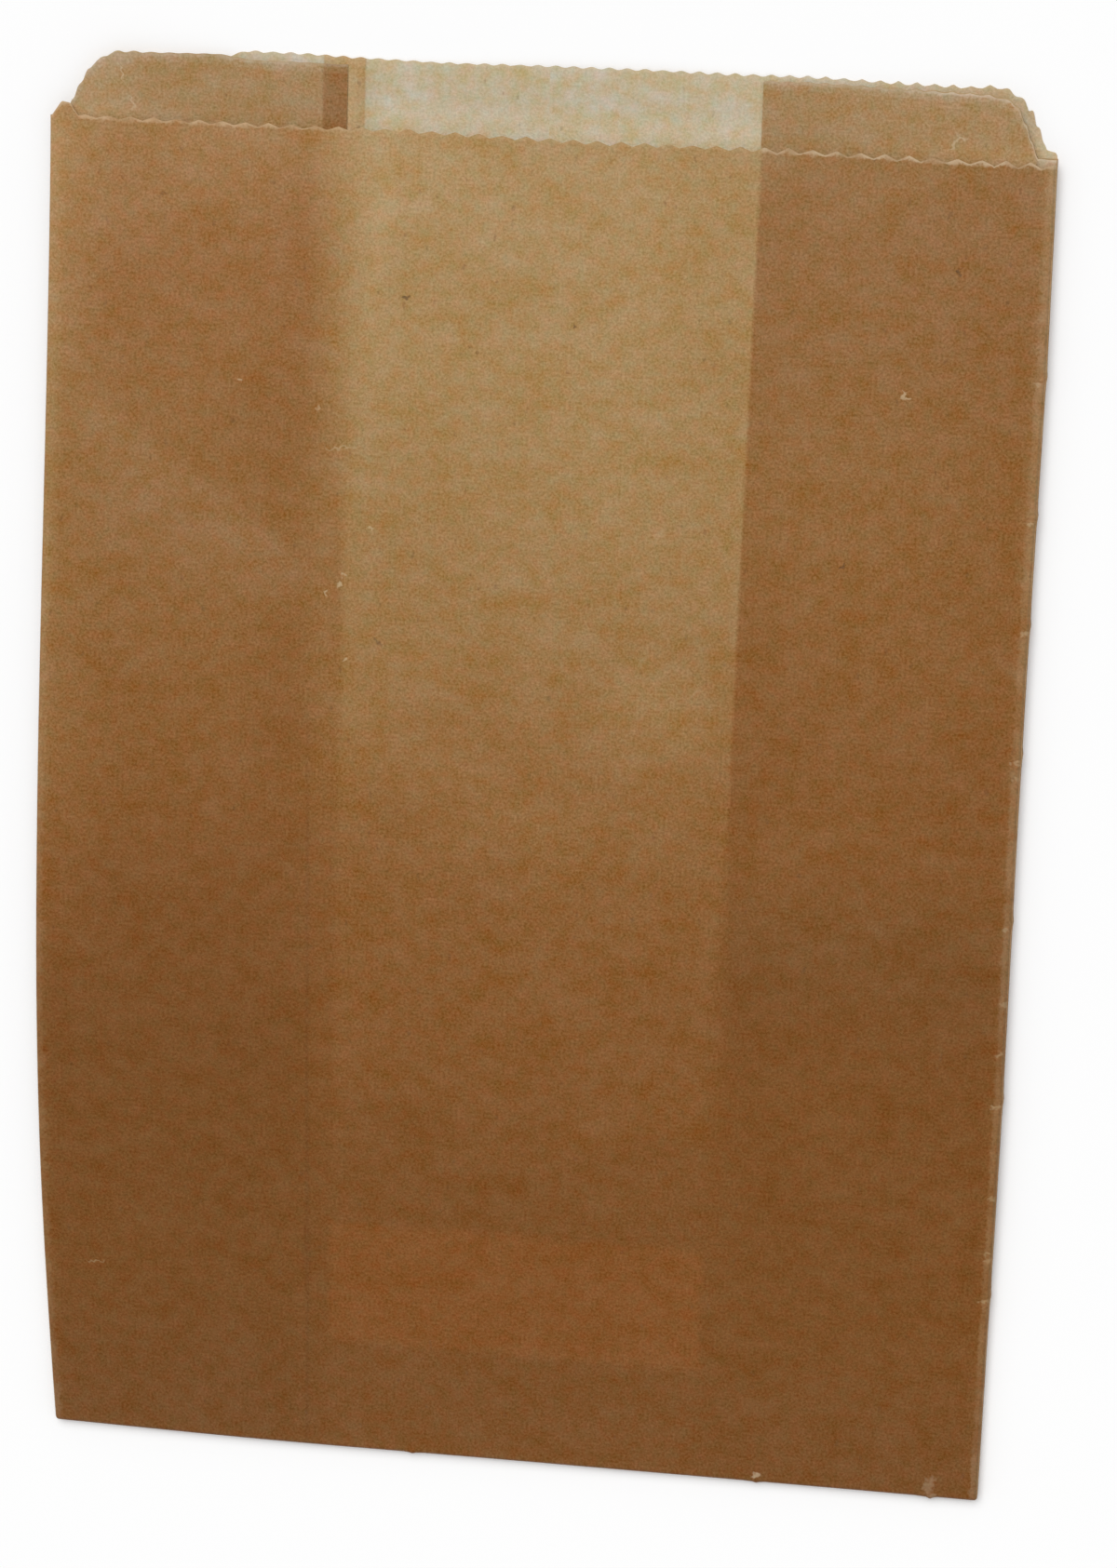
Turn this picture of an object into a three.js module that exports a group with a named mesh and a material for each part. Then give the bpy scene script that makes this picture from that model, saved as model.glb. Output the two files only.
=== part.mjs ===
// A flat paper disposal bag with side gussets, folded from one sheet of waxed kraft paper.
// Millimetres, +Z up. The empty bag lies on its back panel as it comes to rest, with its mouth towards +Y.
import * as THREE from 'three';

// Driving dimensions of the folded bag
const faceWidth = 190.5; // across the front, over the side folds
const frontHeight = 266.7; // bottom fold to the front panel's cut edge
const gussetDepth = 114.3; // one side gusset opened out flat, both of its plies
const lipHeight = 13; // the back and the gussets reach this far past the front's cut edge
const lipCornerWidth = 10; // the lip's corners are rounded off over this width
const gussetStep = 1.2; // the gussets are cut this much lower than the back
const earHeight = 2; // the front's cut edge turns up by this much at the side folds
const earWidth = 4.5; // and does so over this width
const flapHeight = 46; // the bottom end, folded under the back and pasted there
const seamWidth = 8; // the sheet's two edges lap over each other along the back
const seamOffset = 40; // from the middle of the back to the middle of the seam, on the left

// Driving dimensions of the paper
const paperThickness = 0.1;
const plySpacing = 0.3; // between the middles of two plies that are pressed together

// Driving dimensions of the pinked edges
const frontToothPitch = 4.5;
const frontToothDepth = 1.2;
const lipToothPitch = 3.5;
const lipToothDepth = 0.7;

// Driving dimensions of the way the empty bag springs open towards its mouth
const sideOpening = 1.8; // the front's side folds rise by this much
const crownRise = 2.3; // the front's middle rises by this much more
const openingStart = 10; // above the bottom fold
const openingLength = 110;
const settleLength = 80; // past the flap, the back comes down to the ground over this length

// Fineness of the facets
const foldSteps = 4; // round a side fold or a pleat
const bottomFoldSteps = 6;
const frontSteps = 7; // across half of the front
const openingSteps = 6;
const settleSteps = 5;
const edgeMargin = 3; // between a cut edge and the nearest row of facets

// Places worked out from the dimensions
const { smoothstep, lerp, inverseLerp, degToRad } = THREE.MathUtils;
const halfPaper = paperThickness / 2;
const halfWidth = faceWidth / 2;
const foldRadius = plySpacing / 2; // to the middle of the paper
const sideFoldX = halfWidth - foldRadius - halfPaper;
const pleatFoldX = halfWidth - gussetDepth / 2 + foldRadius;
const stackHeight = 3 * plySpacing; // from the back to the front, pressed flat
const bottomFoldReach = foldRadius + stackHeight + halfPaper;
const bottomFoldLength = Math.PI * (foldRadius + stackHeight / 2);
const bottomAxisHeight = halfPaper + stackHeight + foldRadius;
const overallLength = frontHeight + lipHeight + lipToothDepth / 2;

// Lengths run along the sheet: 0 at the bottom fold, up to the mouth, and below 0 round the fold into
// the flap.
const mouthLength = frontHeight - bottomFoldReach;
const tailLength = -bottomFoldLength - flapHeight;
const settleStart = flapHeight + lipToothDepth;
const openingEnd = openingStart + openingLength;

function spread(from, to, steps) {
  return Array.from({ length: steps + 1 }, (_, k) => lerp(from, to, k / steps));
}

// The back panel rides over the flap and then comes down to lie on the ground.
function groundHeight(length) {
  const settled = smoothstep(length, settleStart, settleStart + settleLength);
  return lerp(bottomAxisHeight + foldRadius, halfPaper, settled);
}

// Lays a point of the bag in space: the body runs along +Y, and the bottom end turns round the bottom fold
// and runs back under the body.
function layDown(x, height, length) {
  if (length >= 0) return new THREE.Vector3(x, length, groundHeight(length) + height);
  const turn = Math.PI * Math.min(-length / bottomFoldLength, 1);
  const past = Math.max(-length - bottomFoldLength, 0);
  const radius = foldRadius + height;
  return new THREE.Vector3(x, past - radius * Math.sin(turn), bottomAxisHeight + radius * Math.cos(turn));
}

// A pinking knife's zigzag across the bag, from -1 at a root to +1 at a tip, with whole teeth between the
// side folds.
function zigzag(x, teeth) {
  const phase = ((x + halfWidth) / faceWidth) * teeth + 0.25;
  return 1 - 4 * Math.abs(phase - Math.floor(phase) - 0.5);
}

// One stepped knife cuts every bag from the tube, so the mouth and the flap's tail have the same outline.
// The front is cut low. The back is cut higher, with its corners rounded off at the side folds, and the
// gussets follow it a step lower and rounder.
const frontKnife = {
  teeth: Math.round(faceWidth / frontToothPitch),
  line(x) {
    const ear = earHeight * Math.max(0, 1 - (halfWidth - Math.abs(x)) / earWidth);
    return ear + (zigzag(x, this.teeth) * frontToothDepth) / 2;
  },
};

function lipKnife(step) {
  const cornerWidth = lipCornerWidth + 2 * step;
  return {
    teeth: Math.round(faceWidth / lipToothPitch),
    line(x) {
      const inward = Math.min((halfWidth - Math.abs(x)) / cornerWidth, 1);
      const corner = 1 - (1 - inward) ** 2;
      return lerp(earHeight, lipHeight - step, corner) + (corner * zigzag(x, this.teeth) * lipToothDepth) / 2;
    },
  };
}
const backKnife = lipKnife(0);
const gussetKnife = lipKnife(gussetStep);

// Heights of the plies, from the middle of the back's paper to the middle of their own.
const opened = (length) => smoothstep(length, openingStart, openingEnd);
const sideHeight = (length) => stackHeight + sideOpening * opened(length);

const back = { outside: -1, knife: backKnife, height: () => 0 };
const lowerGusset = { outside: 1, knife: gussetKnife, height: () => plySpacing };
const upperGusset = {
  outside: -1,
  knife: gussetKnife,
  height(x, length) {
    const share = inverseLerp(pleatFoldX, sideFoldX, Math.abs(x));
    return lerp(2 * plySpacing, sideHeight(length) - plySpacing, share);
  },
};
const front = {
  outside: 1,
  knife: frontKnife,
  height: (x, length) => sideHeight(length) + crownRise * opened(length) * (1 - (x / sideFoldX) ** 2),
};

// A station is a line that runs the length of the sheet. Its place in the section is a centre and a lead
// from it along the outside's normal: none on a flat ply, and round a fold the fold's radius, outwards or
// inwards.
function flat(ply, places) {
  const normal = [0, ply.outside];
  return places.map((x) => ({ ply, x, height: (length) => ply.height(x, length), normal, lead: 0 }));
}

function fold(ply, x, height, lead) {
  return spread(-90, 90, foldSteps)
    .slice(1, -1)
    .map((degrees) => degToRad(Math.sign(lead) * degrees))
    .map((angle) => ({ ply, x, height, normal: [Math.cos(angle), Math.sin(angle)], lead }));
}

// The right half of the section, from the middle of the back round the gusset to the middle of the front.
const seamNear = seamOffset - seamWidth / 2;
const seamFar = seamOffset + seamWidth / 2;
const seamPlaces = [seamNear - paperThickness, seamNear, seamFar, seamFar + paperThickness];
const rightHalf = [
  ...flat(back, [0, ...seamPlaces, sideFoldX]),
  ...fold(lowerGusset, sideFoldX, () => plySpacing / 2, foldRadius),
  ...flat(lowerGusset, spread(sideFoldX, pleatFoldX, 2)),
  ...fold(lowerGusset, pleatFoldX, () => 1.5 * plySpacing, -foldRadius),
  ...flat(upperGusset, spread(pleatFoldX, sideFoldX, 2)),
  ...fold(upperGusset, sideFoldX, (length) => sideHeight(length) - plySpacing / 2, foldRadius),
  ...flat(front, spread(sideFoldX, 0, frontSteps)),
];
const leftHalf = rightHalf
  .slice(1, -1)
  .reverse()
  .map((station) => ({ ...station, x: -station.x, normal: [-station.normal[0], station.normal[1]] }));
const ring = [...rightHalf, ...leftHalf];

// On the seam the back is two plies thick, the second one inside.
function seamThickness(station) {
  const onSeam = station.ply === back && station.x <= -seamNear && station.x >= -seamFar;
  return onSeam ? paperThickness : 0;
}

function pointOn(station, length, inside) {
  const offset = station.lead + (inside ? -halfPaper - seamThickness(station) : halfPaper);
  const x = station.x + station.normal[0] * offset;
  return layDown(x, station.height(length) + station.normal[1] * offset, length);
}

// A cut edge has the end of every station and, between two of them, the tips and roots of the knife's teeth.
function toothPlaces(from, to, teeth) {
  const halfPitch = halfWidth / teeth;
  const low = Math.min(from, to) + paperThickness;
  const high = Math.max(from, to) - paperThickness;
  const places = Array.from({ length: 2 * teeth }, (_, k) => (k + 0.5) * halfPitch - halfWidth);
  const between = places.filter((x) => x > low && x < high);
  return from < to ? between : between.reverse();
}

const edgePoints = ring.flatMap((station, index) => {
  const next = ring[(index + 1) % ring.length];
  const { knife } = station.ply;
  const teeth = toothPlaces(station.x, next.x, knife.teeth).map((x) => ({
    share: inverseLerp(station.x, next.x, x),
    cut: knife.line(x),
  }));
  const ownEnd = { share: 0, cut: knife.line(station.x) };
  return [ownEnd, ...teeth].map(({ share, cut }) => ({ station, next, share, at: index + share, cut }));
});

// The skin is a closed chain of loops: the outside from the tail to the mouth, then the inside back again.
const rows = [
  tailLength + lipHeight + edgeMargin,
  ...spread(-bottomFoldLength, 0, bottomFoldSteps),
  ...spread(settleStart, settleStart + settleLength, settleSteps),
  ...spread(openingStart, openingEnd, openingSteps),
  mouthLength - edgeMargin,
].sort((a, b) => a - b);
const positions = [];

function addVertex(point) {
  positions.push(...point.toArray());
  return positions.length / 3 - 1;
}

function rowLoop(length, inside) {
  return ring.map((station, index) => ({ at: index, vertex: addVertex(pointOn(station, length, inside)) }));
}

function edgeLoop(end, inside) {
  return edgePoints.map(({ station, next, share, at, cut }) => {
    const point = pointOn(station, end + cut, inside).lerp(pointOn(next, end + cut, inside), share);
    return { at, vertex: addVertex(point) };
  });
}

function skin(inside) {
  const body = rows.map((length) => rowLoop(length, inside));
  return [edgeLoop(tailLength, inside), ...body, edgeLoop(mouthLength, inside)];
}

// Joins two loops with triangles, stepping along whichever loop is behind.
function zip(near, far) {
  const closing = (loop) => [...loop, { at: ring.length, vertex: loop[0].vertex }];
  const [a, b] = [closing(near), closing(far)];
  const triangles = [];
  let i = 0;
  let j = 0;
  while (i < near.length || j < far.length) {
    const stepNear = j === far.length || (i < near.length && a[i + 1].at <= b[j + 1].at);
    triangles.push(a[i].vertex, b[j].vertex, stepNear ? a[i + 1].vertex : b[j + 1].vertex);
    if (stepNear) i += 1;
    else j += 1;
  }
  return triangles;
}

const loops = [...skin(false), ...skin(true).reverse()];
const triangles = loops.flatMap((loop, k) => zip(loop, loops[(k + 1) % loops.length]));

const sheet = new THREE.BufferGeometry();
sheet.setAttribute('position', new THREE.Float32BufferAttribute(positions, 3));
sheet.setIndex(triangles);
sheet.computeVertexNormals();

const waxedKraft = new THREE.MeshStandardMaterial({ color: 0x97703f, roughness: 0.55, metalness: 0 });
const bag = new THREE.Mesh(sheet, waxedKraft);
bag.name = 'bag';
bag.position.y = bottomFoldReach - overallLength / 2;

const disposalBag = new THREE.Group();
disposalBag.add(bag);

export default disposalBag;
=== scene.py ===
import math
import random
from collections import namedtuple

import bpy
import numpy as np
from mathutils import Matrix, Vector


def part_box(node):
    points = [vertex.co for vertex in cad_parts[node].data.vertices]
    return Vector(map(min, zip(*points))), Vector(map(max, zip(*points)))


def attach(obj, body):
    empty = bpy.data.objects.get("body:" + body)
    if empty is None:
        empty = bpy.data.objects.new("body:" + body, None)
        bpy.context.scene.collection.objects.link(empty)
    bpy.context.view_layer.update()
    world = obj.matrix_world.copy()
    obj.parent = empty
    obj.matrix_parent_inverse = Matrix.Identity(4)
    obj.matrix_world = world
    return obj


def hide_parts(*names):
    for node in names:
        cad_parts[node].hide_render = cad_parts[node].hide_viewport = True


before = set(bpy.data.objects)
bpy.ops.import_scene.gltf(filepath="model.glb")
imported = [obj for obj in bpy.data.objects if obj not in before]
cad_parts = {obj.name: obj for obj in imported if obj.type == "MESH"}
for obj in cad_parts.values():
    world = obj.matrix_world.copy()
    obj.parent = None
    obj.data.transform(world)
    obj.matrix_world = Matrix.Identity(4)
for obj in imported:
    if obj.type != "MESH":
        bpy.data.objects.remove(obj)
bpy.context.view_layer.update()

# The folded sheet
# The bag is one rectangle of thin brown kraft paper, waxed on both faces. A machine folds it round into a
# flat tube with two side gussets, pastes the lap along the back, and turns the tube's end under the back
# and pastes it there.
bag_low, bag_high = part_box("bag")
face_width = bag_high.x - bag_low.x
front_height = 0.2667
left_gusset_fold = 0.0386
right_gusset_fold = 0.0402
flap_height = 0.0460
seam_width = 0.0080
seam_offset = 0.0391
paper_thickness = 0.0001
ply_spacing = 0.0003
pleat_gap = 0.00023
pleat_radius = 0.00009
side_opening = 0.0018
crown_rise = 0.0023
opening_start = 0.010
opening_length = 0.110
settle_length = 0.080

half_paper = paper_thickness / 2
half_width = face_width / 2
fold_radius = ply_spacing / 2
side_fold = half_width - fold_radius - half_paper
stack_height = 3 * ply_spacing
bottom_reach = fold_radius + stack_height + half_paper
bottom_fold_length = math.pi * (fold_radius + stack_height / 2)
bottom_axis_height = half_paper + stack_height + fold_radius
seam_near = seam_width / 2 - seam_offset
seam_far = -seam_width / 2 - seam_offset

# A run is a place along the sheet: 0 at the bottom fold, up to the mouth, and below 0 round the fold into
# the flap.
mouth_run = front_height - bottom_reach
tail_run = -bottom_fold_length - flap_height
first_y = bag_low.y + bottom_reach


def clamp(value):
    return min(max(value, 0.0), 1.0)


def lerp(first, second, share):
    return first + (second - first) * share


def smooth(value, start, end):
    share = clamp((value - start) / (end - start))
    return share * share * (3 - 2 * share)


def spread(start, end, steps):
    return [lerp(start, end, k / steps) for k in range(steps + 1)]


def opened(run):
    return smooth(run, opening_start, opening_start + opening_length)


# The front panel isn't quite flat: it has the slow waves of paper that has taken up damp and dried again,
# and at its upper left a soft crease that runs down towards the gusset.
cockle_height = 0.00007
cockle_lengths = (0.035, 0.110)
cockle_count = 9
cockle_draw = random.Random(11)
cockle_waves = [
    (
        cockle_draw.uniform(0, math.tau),
        cockle_draw.uniform(*cockle_lengths),
        cockle_draw.uniform(0, math.tau),
    )
    for _ in range(cockle_count)
]
crease_height = 0.0003
crease_width = 0.012
crease_start = Vector((-0.072, 0.064))
crease_end = Vector((-0.042, 0.042))

# The crease fades out round its ends: from a share of its length past each end to a share short of it.
fade_past_end = 0.3
fade_before_end = 0.2


def cockle(x, run):
    return cockle_height * sum(
        math.sin(math.tau * (x * math.cos(turn) + run * math.sin(turn)) / length + phase)
        for turn, length, phase in cockle_waves
    )


def crease(x, run):
    way = crease_end - crease_start
    place = Vector((x, run + first_y)) - crease_start
    along = place.dot(way) / way.length_squared
    apart = abs(place.cross(way)) / way.length
    fade_in = smooth(along, -fade_past_end, fade_before_end)
    fade_out = smooth(along, 1 + fade_past_end, 1 - fade_before_end)
    return crease_height * (fade_in * fade_out) * max(1 - apart / crease_width, 0.0)


def side_height(run):
    return stack_height + side_opening * opened(run)


def front_height_at(x, run):
    inward = 1 - (x / side_fold) ** 2
    return side_height(run) + opened(run) * inward * (crown_rise + cockle(x, run)) + crease(x, run)


def gusset_share(x):
    gusset_fold = right_gusset_fold if x > 0 else left_gusset_fold
    return (abs(x) - gusset_fold) / (side_fold - gusset_fold)


def lower_gusset_height(x, run):
    return lerp(pleat_gap, ply_spacing, gusset_share(x))


def upper_gusset_height(x, run):
    return lerp(pleat_gap + 2 * pleat_radius, side_height(run) - ply_spacing, gusset_share(x))


# The cut edges
# One toothed and stepped knife cuts the tube into bags. It cuts the front low, with an upright ear at the
# left side fold, and it cuts the back higher, with rounded corners, so that the back and the gussets stand
# out as a lip. The knife has a little play, so its cut wanders and its teeth bite unevenly.
lip_height = 0.0127
gusset_step = 0.0010
left_step_start = -0.064
left_step_end = -0.056
front_tooth_pitch = 0.00447
front_tip = 0.00095
lip_tooth_pitch = 0.00337
lip_tip = 0.00105

# The knife's outlines are rows of places with a value at each of them. The corners have places inwards from
# the side fold, and the others have places across the bag.
front_line = (
    (-0.0952, -0.0001),
    (-0.0930, 0.0024),
    (-0.0912, 0.0026),
    (-0.0897, 0.0001),
    (-0.0450, 0.0001),
    (-0.0270, 0.0003),
    (0.0100, -0.0002),
    (0.0480, 0.0),
    (0.0680, -0.0004),
    (0.0952, -0.0008),
)
left_corner = (
    (0, -0.0001),
    (0.0037, 0.0018),
    (0.0052, 0.0051),
    (0.0067, 0.0077),
    (0.0081, 0.0098),
    (0.0110, 0.0117),
    (0.0130, 0.0122),
    (0.0380, lip_height),
)
right_corner = (
    (0, 0.0004),
    (0.0005, 0.0013),
    (0.0022, 0.0017),
    (0.0036, 0.0050),
    (0.0050, 0.0080),
    (0.0067, 0.0104),
    (0.0096, 0.0123),
    (0.0125, 0.0129),
    (0.0165, 0.0125),
    (0.0400, lip_height),
)
right_gusset_corner = (
    (0.0036, 0.0002),
    (0.0045, 0.0022),
    (0.0055, 0.0046),
    (0.0066, 0.0071),
    (0.0078, 0.0093),
    (0.0092, 0.0105),
    (0.0115, 0.0111),
    (0.0136, 0.0114),
    (0.0400, lip_height - gusset_step),
)
lip_tooth_depths = (
    (-0.084, 0.00040),
    (-0.072, 0.00016),
    (-0.061, 0.00016),
    (-0.057, 0.00040),
    (-0.035, 0.00036),
    (-0.025, 0.00024),
    (-0.015, 0.00032),
    (0.020, 0.00038),
    (0.060, 0.00066),
)
lip_wander = (
    (-0.0862, 0.0002),
    (-0.0770, 0.0),
    (-0.0612, -0.0004),
    (-0.0585, 0.0006),
    (-0.0465, 0.0006),
    (-0.0385, 0.00035),
    (-0.0200, 0.00012),
    (0.0, 0.00045),
    (0.0190, 0.00055),
    (0.0350, 0.00045),
    (0.0490, 0.0006),
    (0.0600, 0.0004),
    (0.0860, 0.0002),
)
front_tooth_depths = ((0.036, 0.00080), (0.045, 0.00110))
gusset_tooth_shares = ((-0.070, 0.9), (-0.055, 0.3), (0.0, 0.25), (0.060, 0.6))
weakest_tooth = 0.7
strongest_tooth = 1.2
knife_teeth = 64
tooth_draw = random.Random(5)
tooth_strengths = [tooth_draw.uniform(weakest_tooth, strongest_tooth) for _ in range(knife_teeth)]


def outline(place, corners):
    return float(np.interp(place, *zip(*corners)))


def tooth_strength(phase):
    return tooth_strengths[math.floor(phase + 0.5) % knife_teeth]


def front_cut(x):
    return outline(x, front_line)


def front_teeth(x):
    phase = (x - front_tip) / front_tooth_pitch
    zigzag = 4 * abs(phase - math.floor(phase) - 0.5) - 1
    return 0.5 * outline(x, front_tooth_depths) * zigzag * tooth_strength(phase)


def lip_cut(x):
    corner = outline(half_width - abs(x), right_corner if x > 0 else left_corner)
    return corner + outline(x, lip_wander)


def gusset_cut(x):
    inward = half_width - abs(x)
    if x > 0:
        return outline(inward, right_gusset_corner) + outline(x, lip_wander)
    return outline(inward, left_corner) - gusset_step * smooth(x, left_step_start, left_step_end)


# How far the knife has run along a line that it cuts, at places across the bag.
knife_samples = 1501


def knife_run(cut):
    places = np.linspace(-half_width, half_width, knife_samples)
    heights = [cut(x) for x in places]
    steps = np.hypot(np.diff(places), np.diff(heights))
    return places, np.append(0.0, np.cumsum(steps))


lip_run = knife_run(lip_cut)
gusset_run = knife_run(gusset_cut)


# The knife's teeth stand square to the line that it cuts, so round a corner they show more along the bag,
# up to a limit. They are round bumps on the left and sharp peaks towards the right, but not round the right
# corner, and beside the side folds there are none.
slope_reach = 0.0003
steepest = 1.6
peaks_start = 0.02
peaks_full = 0.06
round_corner = 0.009
past_corner = 0.013
toothless_width = 0.0015
toothed_from = 0.0040


def teeth_on(run, x):
    phase = (np.interp(x, *run) - np.interp(lip_tip, *run)) / lip_tooth_pitch
    steepness = (np.interp(x + slope_reach, *run) - np.interp(x - slope_reach, *run)) / (2 * slope_reach)
    inward = half_width - abs(x)
    bump = 0.5 * math.cos(math.tau * phase)
    peak = 0.5 - abs(math.sin(math.pi * phase))
    sharpness = smooth(x, peaks_start, peaks_full) * smooth(inward, round_corner, past_corner)
    shape = lerp(bump, peak, sharpness)
    depth = outline(x, lip_tooth_depths)
    off_fold = smooth(inward, toothless_width, toothed_from)
    return depth * shape * off_fold * min(steepness, steepest) * tooth_strength(phase)


def lip_teeth(x):
    return teeth_on(lip_run, x)


def gusset_teeth(x):
    return teeth_on(gusset_run, x) * outline(x, gusset_tooth_shares)


# The four plies from the back up: which way the outside faces, the height over the back, the knife's cut
# and teeth, and how many plies there are down to the back.
Ply = namedtuple("Ply", "outside height cut teeth plies")
back = Ply(-1, lambda x, run: 0.0, lip_cut, lip_teeth, 1)
lower_gusset = Ply(1, lower_gusset_height, gusset_cut, gusset_teeth, 2)
upper_gusset = Ply(-1, upper_gusset_height, gusset_cut, gusset_teeth, 3)
front = Ply(1, front_height_at, front_cut, front_teeth, 4)

# The bottom fold has a few small nubs, where the paper was pinched: a place across the bag and how far each
# one stands out.
nubs = ((0.0858, 0.0005), (0.0507, 0.0003), (-0.0200, 0.0003))
nub_width = 0.0007
nub_reach = 0.003

# A station is a line that runs the length of the sheet. Its place in the section is a centre and a lead
# from it along the outside's normal: none on a flat ply, and round a fold the fold's radius, outwards or
# inwards.
Station = namedtuple("Station", "ply x height normal lead")
fold_steps = 6
fold_margins = (0.0, 0.0003, 0.0008, 0.0018, 0.0035)
corner_margins = (0.0, 0.0010, 0.0020, 0.0032, 0.0046, 0.0064, 0.0090)
station_spacing = 0.0022
gusset_steps = 6
back_steps = 12


def flat(ply, places):
    return [
        Station(ply, x, lambda run, ply=ply, x=x: ply.height(x, run), (0.0, ply.outside), 0.0)
        for x in places
    ]


def fold(ply, x, height, lead, side):
    turns = [math.copysign(1, lead) * math.radians(turn) for turn in spread(-90, 90, fold_steps)[1:-1]]
    return [
        Station(ply, side * x, height, (side * math.cos(turn), math.sin(turn)), lead)
        for turn in turns
    ]


corner_places = [side_fold - margin for margin in corner_margins]


# Half of the section, from the back's middle round the gusset to the front's middle.
def half_section(side, gusset_fold, back_places):
    across = [side_fold - margin for margin in fold_margins]
    steps = round(across[-1] / station_spacing)
    pinched = [side * x + shift * nub_width for x, _ in nubs if side * x > 0 for shift in (-1, 0, 1)]
    front_places = sorted(across[:-1] + spread(across[-1], 0.0, steps) + pinched, reverse=True)
    gusset_places = corner_places[:-1] + spread(corner_places[-1], gusset_fold, gusset_steps)
    return [
        *flat(back, back_places),
        *fold(lower_gusset, side_fold, lambda run: ply_spacing / 2, fold_radius, side),
        *flat(lower_gusset, [side * x for x in gusset_places]),
        *fold(lower_gusset, gusset_fold, lambda run: pleat_gap + pleat_radius, -pleat_radius, side),
        *flat(upper_gusset, [side * x for x in reversed(gusset_places)]),
        *fold(upper_gusset, side_fold, lambda run: side_height(run) - ply_spacing / 2, fold_radius, side),
        *flat(front, [side * x for x in front_places]),
    ]


seam_places = [seam_near + paper_thickness, seam_near, seam_far, seam_far - paper_thickness]
right_back = [*spread(0.0, corner_places[-1], back_steps), *corner_places[-2::-1]]
left_back = [
    *spread(0.0, seam_places[0], back_steps // 2)[:-1],
    *seam_places,
    *spread(seam_places[-1], -corner_places[-1], back_steps // 2)[1:],
    *[-x for x in corner_places[-2::-1]],
]
right_half = half_section(1, right_gusset_fold, right_back)
left_half = half_section(-1, left_gusset_fold, left_back)
ring = right_half + left_half[-2:0:-1]


# The bag as it lies
# The empty bag lies on its back and has sprung a little open at the mouth. Its left side fold has bowed
# out, the lip curls up a little, and the right side fold has the small kinks that a pack of bags leaves.
left_bow = 0.0029
bow_lean = 1.45
left_tuck = 0.0012
left_tuck_power = 6

# The right fold's tuck at places along the bag, and the bottom fold's sags, each with its place, its width
# and its depth.
right_tuck = (
    (-0.140, 0.00036),
    (-0.105, 0.00026),
    (-0.085, 0.00008),
    (-0.055, 0.00003),
    (-0.030, 0.00020),
    (0.000, 0.00036),
    (0.030, 0.00038),
    (0.060, 0.00024),
    (0.090, 0.00005),
    (0.105, 0.00018),
    (0.126, 0.00036),
)
bottom_sags = ((-0.050, 0.045, 0.0006), (0.018, 0.045, 0.0002))
sag_reach = 0.030
lip_curl = 0.0009
curl_below_cut = 0.004
curl_stretch = 0.019
curl_phase = 1.1
kink_height = 0.00020
kink_length = 0.0011
kink_places = (0.0867, 0.0602, 0.0391, 0.0138, -0.0194, -0.0553, -0.0959)
corner_radius = 0.0011
corner_width = 0.0035


def bell(value, centre, width):
    return math.exp(-((value - centre) / width) ** 2)


def ground_height(run):
    settled = smooth(run, flap_height, flap_height + settle_length)
    return lerp(bottom_axis_height + fold_radius, half_paper, settled)


# The two bottom corners are a little blunt: what lies near them is drawn in to a quarter of a circle.
def blunted(x, upward):
    beyond = abs(x) - (half_width - corner_width)
    below = clamp(1 - upward / corner_radius)
    if beyond < 0 or below == 0:
        return x
    drawn_in = corner_radius * (1 - math.sqrt(1 - below * below))
    return math.copysign(abs(x) - drawn_in * beyond / corner_width, x)


def lay_down(x, height, run):
    if run >= 0:
        y = run
        z = ground_height(run) + height
    else:
        turn = math.pi * min(-run / bottom_fold_length, 1)
        radius = fold_radius + height
        y = max(-run - bottom_fold_length, 0) - radius * math.sin(turn)
        z = bottom_axis_height + radius * math.cos(turn)
    y += first_y
    upward = y - bag_low.y
    down = clamp(1 - upward / front_height)
    nub = sum(rise * bell(x, place, nub_width) for place, rise in nubs)
    sag = sum(depth * bell(x, place, width) for place, width, depth in bottom_sags)
    y -= sag * smooth(upward, sag_reach, 0.0) + nub * smooth(upward, nub_reach, 0.0)
    if x < 0:
        bow = left_bow * math.sin(math.pi * down ** bow_lean) - left_tuck * down ** left_tuck_power
        x *= 1 + bow / half_width
    else:
        x *= 1 - outline(y, right_tuck) / half_width
    x = blunted(x, upward)
    if x > side_fold - kink_length:
        x += kink_height * sum(bell(y, place, kink_length) for place in kink_places)
    wave = 0.5 + 0.5 * math.sin(x / curl_stretch + curl_phase)
    z += lip_curl * wave * smooth(upward, front_height - curl_below_cut, bag_high.y - bag_low.y)
    return x, y, z


def point_on(station, run, inside):
    on_seam = station.ply is back and seam_far <= station.x <= seam_near
    lap = paper_thickness if on_seam else 0.0
    offset = station.lead + (-half_paper - lap if inside else half_paper)
    x = station.x + station.normal[0] * offset
    return lay_down(x, station.height(run) + station.normal[1] * offset, run)


# The skin is a closed chain of loops: the outside from the tail to the mouth, then the inside back again.
# A corner of a loop has its place in the ring, its vertex, and its place on the flat sheet.
Corner = namedtuple("Corner", "at vertex sheet")
edge_gaps = (0.0, 0.0003, 0.0007, 0.0014)
edge_margin = 0.004
edge_spacing = 0.00045
corner_spacing = 0.00022
rounding_slack = 0.01
tooth_depth = 0.0009
tooth_fade = 0.0020
row_spacing = 0.0025
flap_rows = 8
bottom_fold_rows = 10
mouth_leans = spread(0.2, 1.0, 4)
tail_leans = (0.75, 0.5, 0.25)
chart_gap = 0.010
sharp_angle = math.radians(50)
positions = []
cut_gaps = []
fold_gaps = []
ply_counts = []
tooth_shares = []


def section_point(station):
    across, upward = station.normal
    return station.x + across * station.lead, station.height(0.0) + upward * station.lead


def section_step(first, second):
    return math.dist(section_point(first), section_point(second))


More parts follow.
